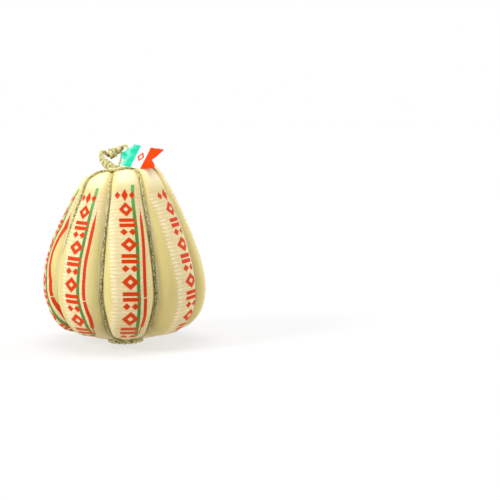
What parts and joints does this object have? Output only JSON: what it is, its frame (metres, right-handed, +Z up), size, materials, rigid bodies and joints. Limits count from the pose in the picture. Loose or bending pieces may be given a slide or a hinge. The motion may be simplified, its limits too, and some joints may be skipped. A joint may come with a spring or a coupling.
{
  "type": "provolone cheese",
  "caption": "Large ribbed pear-shaped cheese in a printed sleeve, tied with cords into lobes, with a rope ring under it, a rope hanging loop on top and a swallow-tailed label.",
  "frame": {"origin": "on the floor under the middle of the cheese, which is the centre of the rope ring that it stands on", "axes": "+Z up, -Y towards the front that the picture shows, +X to the right seen from the front"},
  "size_m": [0.2714, 0.272, 0.3345],
  "materials": {
    "sleeve": "pale yellow film over the cheese, knit down the middle of each lobe, with printed stripes",
    "rope": "rough twisted rope, pale straw with darker olive strands",
    "label_film": "thin glossy label in bands of green, white and red"
  },
  "bodies": {
    "root": {"cheese": "sleeve", "cord_1": "rope", "cord_2": "rope", "cord_3": "rope", "cord_4": "rope", "cord_5": "rope", "cord_6": "rope", "cord_7": "rope", "cord_8": "rope", "base_ring": "rope", "top_knot": "rope", "loop_plait": "rope", "loop_coil": "rope", "loop_leg": "rope", "label": "label_film"}
  },
  "joints": []
}
